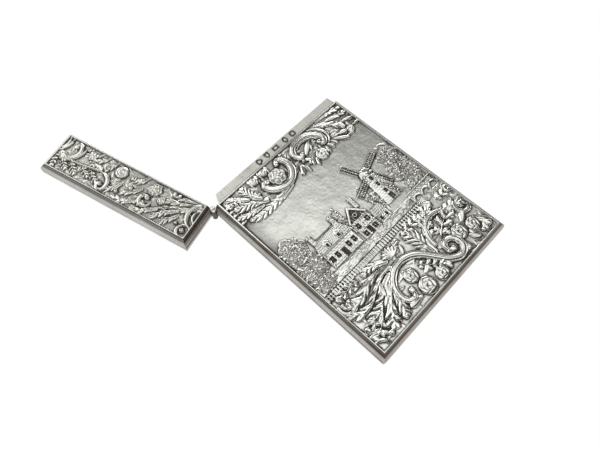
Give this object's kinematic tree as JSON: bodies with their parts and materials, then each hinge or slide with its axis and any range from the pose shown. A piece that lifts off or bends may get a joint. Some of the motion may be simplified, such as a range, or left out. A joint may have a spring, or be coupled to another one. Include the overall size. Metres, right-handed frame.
{
  "type": "card case",
  "caption": "Flat rectangular metal case for visiting cards, with relief-stamped faces, half round sides, a liner at its mouth and a lid that swings open sideways on a corner hinge.",
  "frame": {"origin": "centre of the body's back, on the plane that the case lies on: the top of the back's raised border and of the plain cartouche in its middle", "axes": "+Z out of the front face, which lies upwards; +Y along the body from its base towards its mouth; -X is the hinge side"},
  "size_m": [0.1072, 0.1555, 0.0085],
  "materials": {
    "relief_silver": "die-stamped silver, dark in its recesses and polished on its high points",
    "moulding_silver": "plain drawn silver moulding, polished by use, with fine scratches",
    "liner_silver": "pale satin silver with fine brushing",
    "hinge_silver": "drawn silver tube, worn bright",
    "pin_metal": "hard drawn silver wire, riveted over at both ends"
  },
  "bodies": {
    "case": {"front_panel": "relief_silver", "back_panel": "relief_silver", "hinge_side_moulding": "moulding_silver", "free_side_moulding": "moulding_silver", "base_moulding": "moulding_silver", "liner": "liner_silver", "body_bearer": "moulding_silver", "body_knuckle_lower": "hinge_silver", "body_knuckle_upper": "hinge_silver"},
    "lid": {"lid_front_panel": "relief_silver", "lid_back_panel": "relief_silver", "lid_hinge_side_moulding": "moulding_silver", "lid_free_side_moulding": "moulding_silver", "lid_top_moulding": "moulding_silver", "lid_bearer": "moulding_silver", "lid_knuckle_bottom": "hinge_silver", "lid_knuckle_middle": "hinge_silver", "lid_knuckle_top": "hinge_silver", "hinge_pin": "pin_metal"}
  },
  "joints": [
    {"name": "lid_hinge", "type": "hinge", "parent": "case", "child": "lid", "pos_m": [-0.0362, 0.04183, 0.004], "axis": [0, 0, 1], "range_deg": [-104, 16]}
  ]
}
